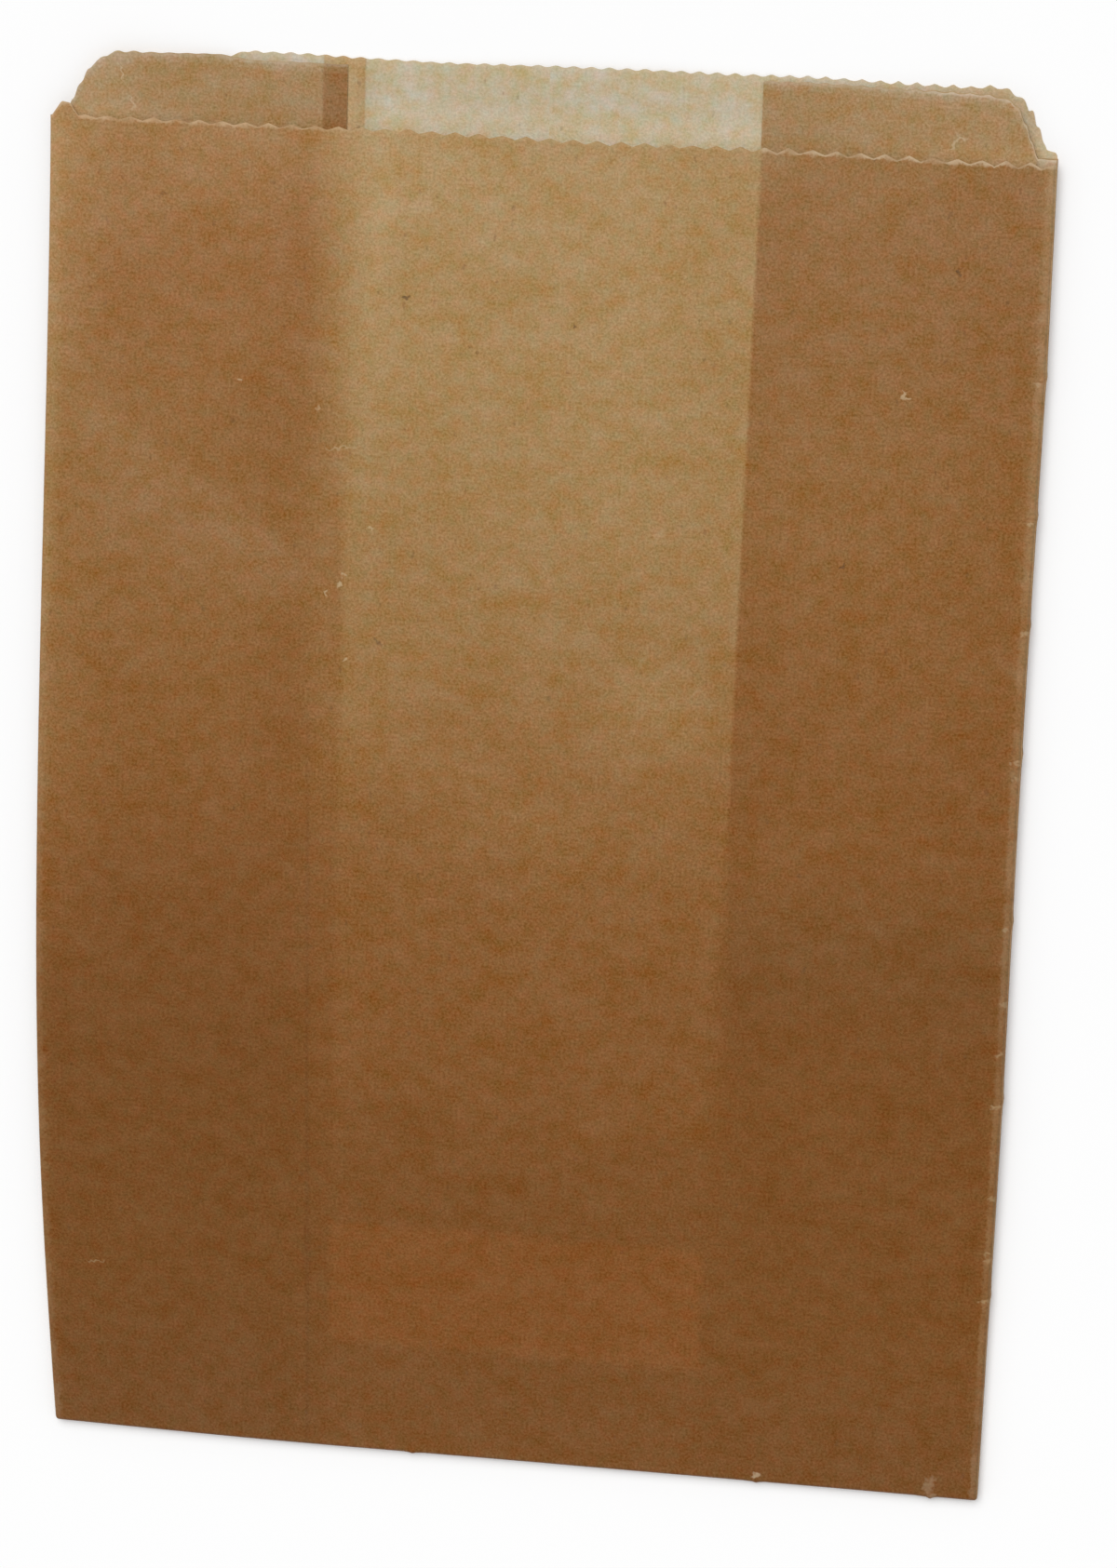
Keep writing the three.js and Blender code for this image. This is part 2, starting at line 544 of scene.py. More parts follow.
ring_places = [0.0]
for first, second in zip(ring, ring[1:] + ring[:1]):
    ring_places.append(ring_places[-1] + section_step(first, second))
sheet_width = ring_places[-1]
sheet_height = mouth_run + lip_height - tail_run
chart_step = sheet_height + chart_gap


def add_corner(at, share, run, inside, cut_gap, tooth_share=0.5):
    station = ring[at]
    following = ring[(at + 1) % len(ring)]
    point = np.array(point_on(station, run, inside))
    if share:
        point += share * (np.array(point_on(following, run, inside)) - point)
    positions.append(point)
    cut_gaps.append(cut_gap)
    fold_gaps.append(side_fold - abs(lerp(station.x, following.x, share)))
    ply_counts.append(station.ply.plies)
    tooth_shares.append(tooth_share)
    u = lerp(ring_places[at], ring_places[at + 1], share)
    v = run - tail_run + (chart_step if inside else 0.0)
    return Corner(at + share, len(positions) - 1, (u, v))


def row_loop(run, inside):
    return [add_corner(at, 0.0, run, inside, edge_margin) for at in range(len(ring))]


# A row that leans from a straight row to the line of a cut edge.
def leaning_loop(start, end, share, inside):
    runs = [lerp(start, end + station.ply.cut(station.x), share) for station in ring]
    return [add_corner(at, 0.0, run, inside, edge_margin) for at, run in enumerate(runs)]


def edge_places():
    for at, station in enumerate(ring):
        following = ring[(at + 1) % len(ring)]
        at_corner = station.ply is not front and abs(station.x + following.x) / 2 > corner_places[-1]
        spacing = corner_spacing if at_corner else edge_spacing
        parts = math.ceil(abs(following.x - station.x) / spacing - rounding_slack)
        for part in range(max(parts, 1)):
            yield at, part / max(parts, 1)


edge_stations = list(edge_places())


def edge_loop(end, gap, inward, inside):
    corners = []
    for at, share in edge_stations:
        ply = ring[at].ply
        x = lerp(ring[at].x, ring[(at + 1) % len(ring)].x, share)
        tooth = ply.teeth(x)
        run = end + ply.cut(x) + tooth * (1 - gap / tooth_fade) + inward * gap
        corners.append(add_corner(at, share, run, inside, gap, clamp(0.5 + tooth / tooth_depth)))
    return corners


mouth_row = mouth_run - edge_margin
tail_row = tail_run + lip_height + edge_margin
kink_rows = [place - first_y + shift for place in kink_places for shift in (-kink_length, 0.0, kink_length)]
rows = sorted([
    *spread(tail_row, -bottom_fold_length, flap_rows)[:-1],
    *spread(-bottom_fold_length, 0.0, bottom_fold_rows),
    *spread(0.0, mouth_row, round(mouth_row / row_spacing))[1:],
    *kink_rows,
])


def skin(inside):
    tail = [edge_loop(tail_run, gap, 1, inside) for gap in edge_gaps]
    tail += [leaning_loop(tail_row, tail_run + tooth_fade, share, inside) for share in tail_leans]
    body = [row_loop(run, inside) for run in rows]
    mouth = [leaning_loop(mouth_row, mouth_run - tooth_fade, share, inside) for share in mouth_leans]
    mouth += [edge_loop(mouth_run, gap, -1, inside) for gap in reversed(edge_gaps)]
    return tail + body + mouth


faces = []
face_sheets = []
face_finishes = []
FRONT, INNER, BACK = range(3)
front_stations = [at for at, station in enumerate(ring) if station.ply is front]
front_start, front_end = min(front_stations), max(front_stations)


def add_face(corners, inside):
    faces.append([corner.vertex for corner in corners])
    face_sheets.extend(corner.sheet for corner in corners)
    middle = sum(corner.at for corner in corners) / len(corners)
    above_fold = corners[0].sheet[1] > -tail_run - bottom_fold_length / 2
    on_front = above_fold and front_start <= middle <= front_end
    face_finishes.append(INNER if inside else FRONT if on_front else BACK)


# Joins two loops, with quads where they have the same places, and triangles from one to the other where
# they don't.
def join(near, far, inside):
    first, second = (
        [*loop, Corner(len(ring), loop[0].vertex, (sheet_width, loop[0].sheet[1]))]
        for loop in (near, far)
    )
    if len(near) == len(far):
        for k in range(len(near)):
            add_face([first[k], second[k], second[k + 1], first[k + 1]], inside)
        return
    i = j = 0
    while i < len(near) or j < len(far):
        if j == len(far) or (i < len(near) and first[i + 1].at <= second[j + 1].at):
            add_face([first[i], second[j], first[i + 1]], inside)
            i += 1
        else:
            add_face([first[i], second[j], second[j + 1]], inside)
            j += 1


# The cut paper's own thickness lies on the flat sheet as a hair-thin border of the outside.
def rim(outside, inside, outward):
    border = [
        Corner(corner.at, facing.vertex, (corner.sheet[0], corner.sheet[1] + outward * paper_thickness))
        for corner, facing in zip(outside, inside)
    ]
    near, far = (outside, border) if outward > 0 else (border, outside)
    join(near, far, False)


outer_loops = skin(False)
inner_loops = skin(True)
for near, far in zip(outer_loops, outer_loops[1:]):
    join(near, far, False)
for near, far in zip(inner_loops, inner_loops[1:]):
    join(far, near, True)
rim(outer_loops[-1], inner_loops[-1], 1)
rim(outer_loops[0], inner_loops[0], -1)

sheet_mesh = bpy.data.meshes.new("bag_sheet")
sheet_mesh.from_pydata([tuple(point) for point in positions], [], faces)
sheet_mesh.polygons.foreach_set("material_index", face_finishes)
vertex_values = {"cut_gap": cut_gaps, "fold_gap": fold_gaps, "plies": ply_counts, "tooth": tooth_shares}
for name, values in vertex_values.items():
    attribute = sheet_mesh.attributes.new(name, "FLOAT", "POINT")
    attribute.data.foreach_set("value", np.array(values, dtype=np.float32))
sheet_places = np.array(face_sheets, dtype=np.float32)
sheet_mesh.uv_layers.new(name="sheet").uv.foreach_set("vector", sheet_places.ravel())
bake_span = max(sheet_width, 2 * chart_step)
sheet_mesh.uv_layers.new(name="OFBake").uv.foreach_set("vector", (sheet_places / bake_span).ravel())
sheet_mesh.shade_smooth()
sheet_mesh.set_sharp_from_angle(angle=sharp_angle)
sheet_mesh.validate()
bag_sheet = bpy.data.objects.new("bag_sheet", sheet_mesh)
bpy.context.scene.collection.objects.link(bag_sheet)
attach(bag_sheet, "root")
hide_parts("bag")


# The waxed kraft
# Wax makes the paper half see-through, so its colour depends on how many plies lie behind it: one ply is
# pale straw, four are toffee brown. Towards the bottom it all turns a deep brown. The pulp is uneven, so
# each ply is mottled.
wax_sheen = 0.15
grain_strength = 0.25
grain_height = 0.00012


# A screen's colour as an amount of light. The curve's straight part is left out, because it only serves
# tones that are darker than any here.
def srgb(red, green, blue):
    return (*[((level / 255 + 0.055) / 1.055) ** 2.4 for level in (red, green, blue)], 1.0)


# The tones of no ply, one ply, two plies and so on.
ply_tones = (
    srgb(203, 194, 172),
    srgb(190, 175, 146),
    srgb(177, 146, 102),
    srgb(160, 126, 80),
    srgb(144, 103, 58),
    srgb(134, 90, 45),
    srgb(127, 82, 38),
    srgb(119, 75, 32),
    srgb(111, 70, 30),
)
most_plies = len(ply_tones) - 1
pale_tone = srgb(212, 190, 152)
fleck_tone = srgb(96, 66, 38)


class Nodes:
    """Adds nodes to a node tree. Most calls give back the socket with their result."""

    def __init__(self, tree):
        self.tree = tree

    def add(self, kind, inputs, **settings):
        node = self.tree.nodes.new("ShaderNode" + kind)
        for name, value in settings.items():
            setattr(node, name, value)
        for name, value in inputs.items():
            self.feed(node.inputs[name], value)
        return node

    def feed(self, socket, value):
        if isinstance(value, bpy.types.NodeSocket):
            self.tree.links.new(value, socket)
        else:
            socket.default_value = value

    def maths(self, operation, *values):
        return self.add("Math", dict(enumerate(values)), operation=operation).outputs[0]

    def chain(self, operation, first, *others):
        for other in others:
            first = self.maths(operation, first, other)
        return first

    def total(self, *values):
        return self.chain("ADD", *values)

    def product(self, *values):
        return self.chain("MULTIPLY", *values)

    def largest(self, *values):
        return self.chain("MAXIMUM", *values)

    def vector_maths(self, operation, *values):
        return self.add("VectorMath", dict(enumerate(values)), operation=operation).outputs

    def slope(self, value, start, end, low=0.0, high=1.0, kind="LINEAR"):
        limits = {"Value": value, "From Min": start, "From Max": end, "To Min": low, "To Max": high}
        return self.add("MapRange", limits, interpolation_type=kind).outputs["Result"]

    def between(self, share, first, second):
        return self.slope(share, 0.0, 1.0, first, second)

    def span(self, value, start, end, low=0.0, high=1.0):
        return self.slope(value, start, end, low, high, "SMOOTHSTEP")

    def inside(self, value, low, high, softness):
        rising = self.span(value, low - softness, low + softness)
        falling = self.span(value, high + softness, high - softness)
        return self.product(rising, falling)

    def curve(self, value, *points):
        places = [place for place, _ in points]
        results = [result for _, result in points]
        node = self.add("FloatCurve", {"Value": self.slope(value, places[0], places[-1])})
        line = node.mapping.curves[0]
        for _ in points[2:]:
            line.points.new(0.5, 0.5)
        for k, (place, result) in enumerate(points):
            along = (place - places[0]) / (places[-1] - places[0])
            line.points[k].location = (along, (result - min(results)) / (max(results) - min(results)))
        node.mapping.update()
        return self.between(node.outputs["Value"], min(results), max(results))

    def stretch(self, place, factors):
        return self.vector_maths("MULTIPLY", place, factors)["Vector"]

    def noise(self, place, size, detail=2.0, roughness=0.5, distortion=0.0, low=0.3, high=0.7):
        inputs = {"Vector": place, "Scale": 1 / size, "Detail": detail, "Roughness": roughness}
        cloud = self.add("TexNoise", {**inputs, "Distortion": distortion}).outputs["Fac"]
        return self.slope(cloud, low, high, -1.0, 1.0)

    def mix(self, share, first, second, blend="MIX"):
        node = self.add("Mix", {}, data_type="RGBA", blend_type=blend)
        for socket, value in ((node.inputs[0], share), (node.inputs[6], first), (node.inputs[7], second)):
            self.feed(socket, value)
        return node.outputs[2]

    def tone(self, red, green, blue):
        return self.add("CombineColor", {0: red, 1: green, 2: blue}).outputs[0]


def new_group(name, inputs, outputs):
    group = bpy.data.node_groups.new(name, "ShaderNodeTree")
    for label, kind in inputs.items():
        group.interface.new_socket(name=label, in_out="INPUT", socket_type="NodeSocket" + kind)
    for label, kind in outputs.items():
        group.interface.new_socket(name=label, in_out="OUTPUT", socket_type="NodeSocket" + kind)
    entry = group.nodes.new("NodeGroupInput")
    leave = group.nodes.new("NodeGroupOutput")
    return group, Nodes(group), entry.outputs, leave.inputs


kraft_group, nodes, given, result = new_group(
    "waxed_kraft",
    {"Sheet": "Vector", "Plies": "Float", "Pale": "Float"},
    {"Color": "Color", "Roughness": "Float", "Height": "Float"},
)
sheet = given["Sheet"]
grain = nodes.noise(sheet, size=0.00050, roughness=0.7)
fibre = nodes.noise(nodes.stretch(sheet, (1.0, 0.5, 1.0)), size=0.0012, roughness=0.6)
mottle = nodes.noise(sheet, size=0.0036, roughness=0.6)
lying = nodes.stretch(sheet, (0.7, 1.15, 1.0))
cloud = nodes.noise(lying, size=0.0085, detail=3.0, roughness=0.6, distortion=0.4)
patch = nodes.noise(sheet, size=0.055)
warmth = nodes.noise(nodes.stretch(sheet, (-1.0, -1.0, 1.0)), size=0.0023, roughness=0.6)
plies = nodes.total(given["Plies"], nodes.product(cloud, 0.04), nodes.product(patch, 0.10))
ply_ramp = nodes.add("ValToRGB", {"Fac": nodes.slope(plies, 0.0, most_plies)})
stops = ply_ramp.color_ramp.elements
for _ in range(len(ply_tones) - len(stops)):
    stops.new(0.5)
for k, tone in enumerate(ply_tones):
    stops[k].position = k / most_plies
    stops[k].color = tone
fleck = nodes.noise(nodes.stretch(sheet, (1.0, 0.6, 1.0)), size=0.0016, detail=1.0, low=0.70, high=0.78)
fleck_share = nodes.slope(fleck, -1.0, 1.0, low=0.0, high=0.30)
flecked = nodes.mix(fleck_share, ply_ramp.outputs["Color"], fleck_tone)
strength = nodes.slope(given["Plies"], 1.0, 4.8, low=0.14, high=0.37)
speckle = nodes.total(nodes.product(grain, strength), nodes.product(fibre, 0.03))
blotch = nodes.product(
    nodes.total(nodes.product(mottle, -0.09), nodes.product(cloud, -0.07)),
    nodes.slope(given["Plies"], 2.4, 6.0, low=1.0, high=1.35),
)
blue_blotch = nodes.product(blotch, nodes.slope(given["Plies"], 2.4, 6.0, low=2.6, high=3.2))
red_speckle = nodes.product(speckle, nodes.slope(given["Plies"], 1.0, 7.0, low=0.92, high=0.64))
blue_speckle = nodes.product(speckle, nodes.slope(given["Plies"], 1.0, 7.0, low=1.20, high=2.20))
red = nodes.total(1.0, red_speckle, nodes.product(blotch, 0.45), nodes.product(warmth, 0.075))
green = nodes.total(1.0, speckle, blotch, nodes.product(warmth, -0.03))
blue = nodes.total(1.0, blue_speckle, blue_blotch, nodes.product(warmth, -0.03))
shaded = nodes.mix(1.0, flecked, nodes.tone(red, green, blue), "MULTIPLY")
nodes.feed(result["Color"], nodes.mix(given["Pale"], shaded, pale_tone))
rougher = nodes.total(nodes.product(fibre, 0.06), nodes.product(given["Pale"], 0.2))
nodes.feed(result["Roughness"], nodes.total(0.50, rougher))
nodes.feed(result["Height"], nodes.total(nodes.product(grain, 0.5), nodes.product(fibre, 0.5)))

# The worn line
# Where the knife has cut the paper and where it is folded hard, the wax has cracked off and the fibres
# stand out pale, more in some places than in others.
worn_group, nodes, given, result = new_group(
    "worn_line", {"Sheet": "Vector", "Gap": "Float", "Width": "Float"}, {"Mask": "Float"}
)
ragged = nodes.noise(given["Sheet"], size=0.0016, detail=3.0, roughness=0.7)
broken = nodes.span(nodes.noise(given["Sheet"], size=0.0055), -0.5, 0.4, low=0.5, high=1.0)
reach = nodes.product(given["Width"], nodes.total(1.0, nodes.product(ragged, 0.65)))
nearness = nodes.maths("SUBTRACT", 1.0, nodes.maths("DIVIDE", given["Gap"], reach))
nodes.feed(result["Mask"], nodes.product(nodes.span(nearness, 0.0, 0.8), broken))

# The wax crack
# A short ragged line or a dot where the wax has been knocked and has turned white: a long oval round its
# centre, with half its length and half its width as the units.
crack_group, nodes, given, result = new_group(
    "wax_crack",
    {"Place": "Vector", "Centre": "Vector", "Along": "Vector", "Across": "Vector", "Strength": "Float"},
    {"Mask": "Float"},
)
apart = nodes.vector_maths("SUBTRACT", given["Place"], given["Centre"])["Vector"]
along = nodes.vector_maths("DOT_PRODUCT", apart, given["Along"])["Value"]
across = nodes.vector_maths("DOT_PRODUCT", apart, given["Across"])["Value"]
distance_squared = nodes.maths("MULTIPLY_ADD", along, along, nodes.product(across, across))
nodes.feed(result["Mask"], nodes.span(distance_squared, 1.0, 0.0, 0.0, given["Strength"]))


class Finish(Nodes):
    """One material of waxed kraft, with the places on the bag that its own nodes read."""

    def __init__(self, name):
        self.material = bpy.data.materials.new(name)
        self.material.use_nodes = True
        super().__init__(self.material.node_tree)
        self.shader = self.tree.nodes["Principled BSDF"]
        self.place = self.add("TexCoord", {}).outputs["Object"]
        self.x, self.y = self.apart(self.place)
        self.sheet = self.add("UVMap", {}, uv_map="sheet").outputs["UV"]
        slow = self.noise(self.stretch(self.place, (0.6, 1.0, 0.0)), size=0.045, detail=3.0, roughness=0.6)
        quick = self.noise(self.stretch(self.place, (0.5, 1.0, 0.0)), size=0.009)
        self.uneven_y = self.total(self.y, self.product(slow, 0.008), self.product(quick, 0.0025))

    def apart(self, place):
        split = self.add("SeparateXYZ", {0: place})
        return split.outputs["X"], split.outputs["Y"]

    def attribute(self, name):
        return self.add("Attribute", {}, attribute_name=name).outputs["Fac"]

    def group(self, group, **inputs):
        node = self.add("Group", {}, node_tree=group)
        for name, value in inputs.items():
            self.feed(node.inputs[name], value)
        return node.outputs

    def worn(self, gap, width):
        return self.group(worn_group, Sheet=self.sheet, Gap=gap, Width=width)["Mask"]

    def wavering(self, size, amount):
        warp = self.add("TexNoise", {"Vector": self.place, "Scale": 1 / size, "Detail": 1.0})
        shift = self.vector_maths("SUBTRACT", warp.outputs["Color"], (0.5, 0.5, 0.5))["Vector"]
        moved = self.vector_maths("ADD", self.place, self.stretch(shift, (amount, amount, 0.0)))["Vector"]
        return self.stretch(moved, (1.0, 1.0, 0.0))

    def spot(self, x, y, width, height):
        place = self.wavering(size=0.015, amount=0.010)
        apart = self.vector_maths("SUBTRACT", place, (x, y, 0.0))["Vector"]
        scaled = self.stretch(apart, (2 / width, 2 / height, 0.0))
        return self.span(self.vector_maths("LENGTH", scaled)["Value"], 1.0, 0.1)

    def crack(self, place, x, y, angle, length, width, strength):
        way = Vector((1.0, 0.0, 0.0))
        way.rotate(Matrix.Rotation(math.radians(angle), 3, "Z"))
        sideways = Vector((-way.y, way.x, 0.0))
        inputs = {"Centre": (x, y, 0.0), "Along": way * 2 / length, "Across": sideways * 2 / width}
        return self.group(crack_group, Place=place, Strength=strength, **inputs)["Mask"]

    def cracks(self, *marks):
        place = self.wavering(size=0.0011, amount=0.0022)
        return self.largest(*[self.crack(place, *mark) for mark in marks])

    def changed(self, value, changes):
        return self.total(value, *[self.product(mask, amount) for mask, amount in changes])

    def tinted(self, colour, tints):
        for mask, tint in tints:
            colour = self.mix(mask, colour, tint, "MULTIPLY")
        return colour

    def close(self, plies, pale, change=None):
        kraft = self.group(kraft_group, Sheet=self.sheet, Plies=plies, Pale=pale)
        colour = change(kraft["Color"]) if change else kraft["Color"]
        self.feed(self.shader.inputs["Base Color"], colour)
        self.feed(self.shader.inputs["Roughness"], kraft["Roughness"])
        self.shader.inputs["Specular IOR Level"].default_value = wax_sheen
        bump = {"Height": kraft["Height"], "Strength": grain_strength, "Distance": grain_height}
        self.feed(self.shader.inputs["Normal"], self.add("Bump", bump).outputs["Normal"])
        return self.material


# Where the gussets lie behind a face: a soft edge in two steps on the left, where the gusset has bowed away
# and lies over the back's lap, and a sharp one on the right, which fades towards the bottom.
left_gusset_edge = -0.0370
left_gusset_share = 0.55
left_lap_edge = -0.0428
left_lap_softness = 0.0035
right_gusset_edge = 0.0396
gusset_lean = 0.0069


def beyond(finish, value, edge, softness):
    before = finish.maths("SUBTRACT", edge, softness)
    return finish.span(value, before, finish.total(edge, softness))


def gusset_shares(finish, left_softness):
    leftward = finish.product(finish.x, -1.0)
    left = finish.total(
        finish.product(beyond(finish, leftward, -left_gusset_edge, left_softness), left_gusset_share),
        finish.product(beyond(finish, leftward, -left_lap_edge, left_lap_softness), 1 - left_gusset_share),
    )
    leaning = finish.maths("SUBTRACT", finish.x, finish.product(finish.y, gusset_lean))
    right_softness = finish.slope(finish.y, 0.0, -0.070, low=0.0005, high=0.0060)
    return left, beyond(finish, leaning, right_gusset_edge, right_softness)


# How many plies a closed part of the bag is given, which sets its tone: more and more of them towards the
# bottom, so it turns darker there, and sooner where the gussets lie.
def closed_plies(finish, gusset):
    middle = finish.curve(
        finish.uneven_y,
        (-0.140, 7.1),
        (-0.085, 6.9),
        (-0.064, 6.1),
        (-0.028, 5.5),
        (0.008, 4.1),
        (0.032, 3.55),
        (0.127, 2.4),
    )
    sides = finish.curve(
        finish.uneven_y,
        (-0.140, 7.4),
        (-0.045, 7.1),
        (0.000, 5.6),
        (0.050, 4.6),
        (0.100, 4.1),
        (0.127, 3.5),
    )
    more = finish.product(finish.maths("SUBTRACT", sides, middle), gusset)
    return finish.total(middle, more)


# The front panel
# The front's outer face, with the pasted flap showing through near the bottom and the edge of the back's
# seam as a faint line. It has been handled: the folds and the cut are worn pale, and the wax has cracks and
# specks. A lighter patch below the crease and a pale streak near the top are painted sheen; beside the
# folds the paper has painted light, and the right fold has a grey rim of painted shade.
finish = Finish("front_paper")
left_softness = finish.slope(finish.y, 0.080, 0.045, low=0.0045, high=0.0014)
left_gusset, right_gusset = gusset_shares(finish, left_softness)
gusset = finish.largest(left_gusset, right_gusset)
bruised = finish.largest(
    finish.spot(x=-0.053, y=0.068, width=0.030, height=0.044),
    finish.spot(x=-0.050, y=0.016, width=0.022, height=0.050),
)
# A pale streak near the top of the left gusset's edge: painted sheen.
sheen_streak = finish.spot(x=-0.0305, y=0.108, width=0.006, height=0.055)
thin_patch = finish.spot(x=0.025, y=0.014, width=0.034, height=0.038)
fold_gap = finish.attribute("fold_gap")
# Lighter within a few millimetres of both side folds: painted light on the folds' rounded faces.
fold_light = finish.slope(fold_gap, 0.0034, 0.0008)
left_light = finish.product(
    finish.span(fold_gap, 0.0160, 0.0),
    finish.span(finish.x, 0.0, -0.02),
    finish.curve(finish.y, (-0.140, 0.0), (-0.050, 0.0), (-0.020, 0.85), (0.040, 0.60), (0.127, 0.48)),
)
# Lighter along the bottom fold: painted light on the fold's round face.
bottom_fold_light = finish.slope(finish.y, -0.1375, -0.1395)
upper_left = finish.product(finish.span(finish.x, -0.045, -0.060), finish.span(finish.y, 0.0, 0.040))
near_right_gusset = finish.product(
    finish.span(finish.x, 0.015, 0.038),
    finish.span(finish.y, 0.030, 0.090),
    finish.maths("SUBTRACT", 1.0, right_gusset),
)
right_edge = finish.product(finish.span(finish.x, 0.060, 0.090), finish.span(finish.y, -0.090, -0.040))
right_middle = finish.product(right_gusset, finish.inside(finish.y, 0.0, 0.046, softness=0.014))
below_middle = finish.product(right_gusset, finish.inside(finish.y, -0.036, -0.015, softness=0.009))
lower_left = finish.product(finish.span(finish.x, -0.025, -0.055), finish.span(finish.y, -0.030, -0.060))
# A lighter, bluer patch below the crease at the upper left: painted sheen.
below_crease = finish.total(finish.y, finish.product(finish.x, 0.70))
sheen_height = finish.total(finish.y, finish.product(finish.x, 0.25))
sheen_patch = finish.product(
    finish.span(below_crease, 0.0150, 0.0105),
    finish.inside(sheen_height, 0.024, 0.060, softness=0.008),
    finish.inside(finish.x, -0.087, -0.042, softness=0.006),
)

# Each field with the plies that it seems to add or take away.
front_changes = (
    (bruised, 0.35),
    (sheen_streak, -0.25),
    (thin_patch, -0.35),
    (upper_left, -0.12),
    (fold_light, -0.45),
    (left_light, -1.0),
    (bottom_fold_light, -0.40),
    (sheen_patch, -0.55),
    (near_right_gusset, 0.25),
    (right_edge, 0.35),
    (right_middle, 0.20),
    (lower_left, 0.40),
)
front_plies = finish.changed(closed_plies(finish, gusset), front_changes)
across_seam = finish.total(finish.x, finish.product(finish.y, 0.012))
seam_edge = finish.product(
    finish.inside(across_seam, -0.0434, -0.0428, softness=0.0005),
    finish.span(finish.uneven_y, 0.030, -0.010),
)
seam_smear = finish.product(
    finish.inside(across_seam, -0.0438, -0.0424, softness=0.0008),
    finish.inside(finish.y, -0.1035, -0.0920, softness=0.0030),
)
seam_line = finish.largest(seam_edge, seam_smear)
window_x, window_y = finish.apart(finish.wavering(size=0.006, amount=0.0022))
flap_window = finish.product(
    finish.inside(window_x, -0.0372, 0.0380, softness=0.0009),
    finish.inside(window_y, -0.1170, -0.0914, softness=0.0011),
)
bottom_grey = finish.span(finish.y, -0.100, -0.130)
upper_end = finish.span(finish.y, 0.060, 0.105)
left_top = finish.product(upper_end, left_gusset)
right_top = finish.product(upper_end, right_gusset)
low_sides = finish.product(
    gusset, finish.span(finish.y, -0.030, -0.065), finish.span(finish.y, -0.150, -0.100)
)

# The cut's worn line is wider on the teeth's tips and stronger over the gussets. On the right the fold's
# own line lies a little in from the edge, with a grey rim outside it: painted shade, where the fold turns
# away.
tooth_width = finish.between(finish.attribute("tooth"), 0.0005, 0.0011)
cut_strength = finish.changed(0.12, ((left_gusset, 0.34), (right_gusset, 0.48)))
cut_line = finish.product(finish.worn(finish.attribute("cut_gap"), tooth_width), cut_strength)
on_right = finish.slope(finish.x, -0.02, 0.02)
fold_inset = finish.product(on_right, 0.0009)
right_width = finish.slope(finish.y, 0.020, -0.030, low=0.0013, high=0.0009)
fold_width = finish.between(on_right, 0.0018, right_width)
upper_strength = finish.product(on_right, 0.13)
lower_strength = finish.between(on_right, 0.09, 0.11)
fold_strength = finish.span(finish.y, 0.070, 0.030, upper_strength, lower_strength)
from_fold_line = finish.maths("ABSOLUTE", finish.maths("SUBTRACT", fold_gap, fold_inset))
fold_line = finish.product(finish.worn(from_fold_line, fold_width), fold_strength)
fold_shade_rim = finish.product(finish.span(fold_gap, 0.0006, 0.0002), on_right, 0.32)

# Each mark has its place across and up the bag, its angle in degrees, its length, its width and its
# strength. The right fold is rubbed beside its kinks and at a few places between them.
kink_rub_x = 0.0939
kink_rub_below = 0.0012
kink_rub = (8, 0.0024, 0.0012, 0.30)
fold_rub_x = 0.0941
fold_rub_places = (0.0095, -0.0357, -0.0457, -0.0755, -0.0870, -0.0885)
fold_rub = (30, 0.0020, 0.0013, 0.24)
cracks = finish.cracks(
    (-0.0576, 0.0778, 0, 0.0012, 0.0010, 0.40),
    (-0.0420, 0.0736, 10, 0.0014, 0.0010, 0.28),
    (-0.0376, 0.0664, 5, 0.0078, 0.0005, 0.28),
    (-0.0314, 0.0508, 0, 0.0012, 0.0012, 0.36),
    (-0.0367, 0.0415, 40, 0.0014, 0.0011, 0.38),
    (-0.0375, 0.0394, 60, 0.0015, 0.0012, 0.46),
    (-0.0399, 0.0376, 110, 0.0015, 0.0008, 0.38),
    (-0.0364, 0.0248, 30, 0.0014, 0.0011, 0.38),
    (0.0239, 0.0526, 55, 0.0060, 0.0014, 0.10),
    (0.0220, 0.0286, 55, 0.0050, 0.0014, 0.10),
    (0.0323, 0.0226, 60, 0.0040, 0.0014, 0.12),
    (0.0689, 0.0822, 95, 0.0034, 0.0006, 0.42),
    (0.0695, 0.0815, 20, 0.0022, 0.0006, 0.42),
    (-0.0859, -0.1043, 5, 0.0050, 0.0006, 0.20),
    (0.0507, -0.1385, 0, 0.0020, 0.0012, 0.45),
    (0.0852, -0.1372, 76, 0.0056, 0.0026, 0.16),
    (0.0858, -0.1395, 0, 0.0022, 0.0018, 0.20),
    *[(kink_rub_x, y - kink_rub_below, *kink_rub) for y in kink_places],
    *[(fold_rub_x, y, *fold_rub) for y in fold_rub_places],
)
specks = finish.cracks(
    (-0.0257, 0.0956, 50, 0.0016, 0.0008, 0.7),
    (-0.0730, 0.1129, 20, 0.0012, 0.0008, 0.3),
    (0.0065, 0.0920, 70, 0.0012, 0.0008, 0.6),
    (0.0780, 0.1057, 60, 0.0020, 0.0014, 0.7),
    (0.0591, 0.0487, 60, 0.0014, 0.0008, 0.6),
    (0.0563, 0.0140, 20, 0.0011, 0.0008, 0.6),
    (-0.0298, 0.0290, -48, 0.0028, 0.0007, 0.45),
)
pale = finish.largest(cut_line, fold_line, cracks)
